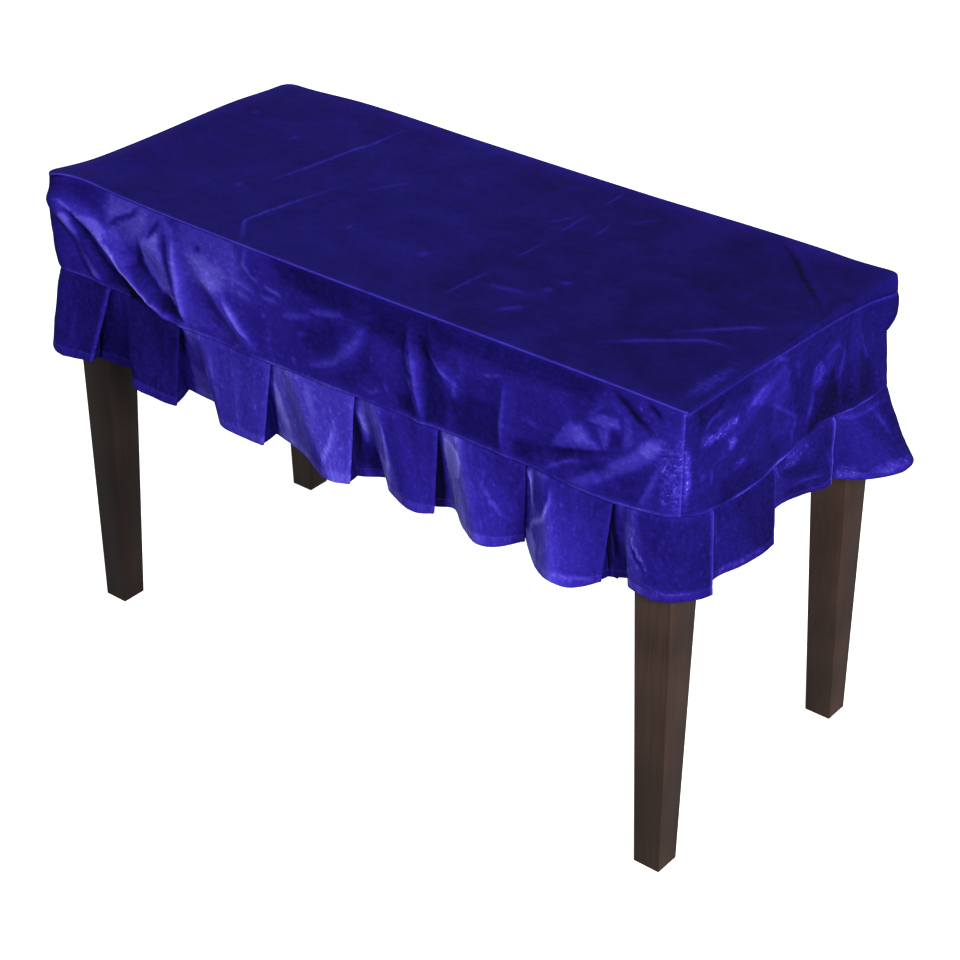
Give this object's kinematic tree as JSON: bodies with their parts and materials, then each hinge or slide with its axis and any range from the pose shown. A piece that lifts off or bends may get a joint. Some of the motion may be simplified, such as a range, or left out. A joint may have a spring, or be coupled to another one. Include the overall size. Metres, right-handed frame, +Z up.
{
  "type": "piano bench cover on its piano bench",
  "caption": "Velvet cover with a flat top, four side bands and a hanging knife-pleated ruffle, fitted over a plain piano bench on tapered square legs.",
  "frame": {"origin": "on the floor, under the middle of the bench", "axes": "+X along the bench to its right end, +Y to its back, +Z up; the longest and best dressed side faces -Y"},
  "size_m": [0.8321, 0.4327, 0.5082],
  "materials": {
    "velvet": "crushed pile",
    "wood": "satin dark stain"
  },
  "bodies": {
    "root": {"cover_top": "velvet", "band_front": "velvet", "band_right": "velvet", "band_back": "velvet", "band_left": "velvet", "ruffle_front": "velvet", "ruffle_right": "velvet", "ruffle_back": "velvet", "ruffle_left": "velvet", "seat_board": "wood", "apron_front": "wood", "apron_back": "wood", "apron_left": "wood", "apron_right": "wood", "leg_front_left": "wood", "leg_front_right": "wood", "leg_back_left": "wood", "leg_back_right": "wood"}
  },
  "joints": []
}
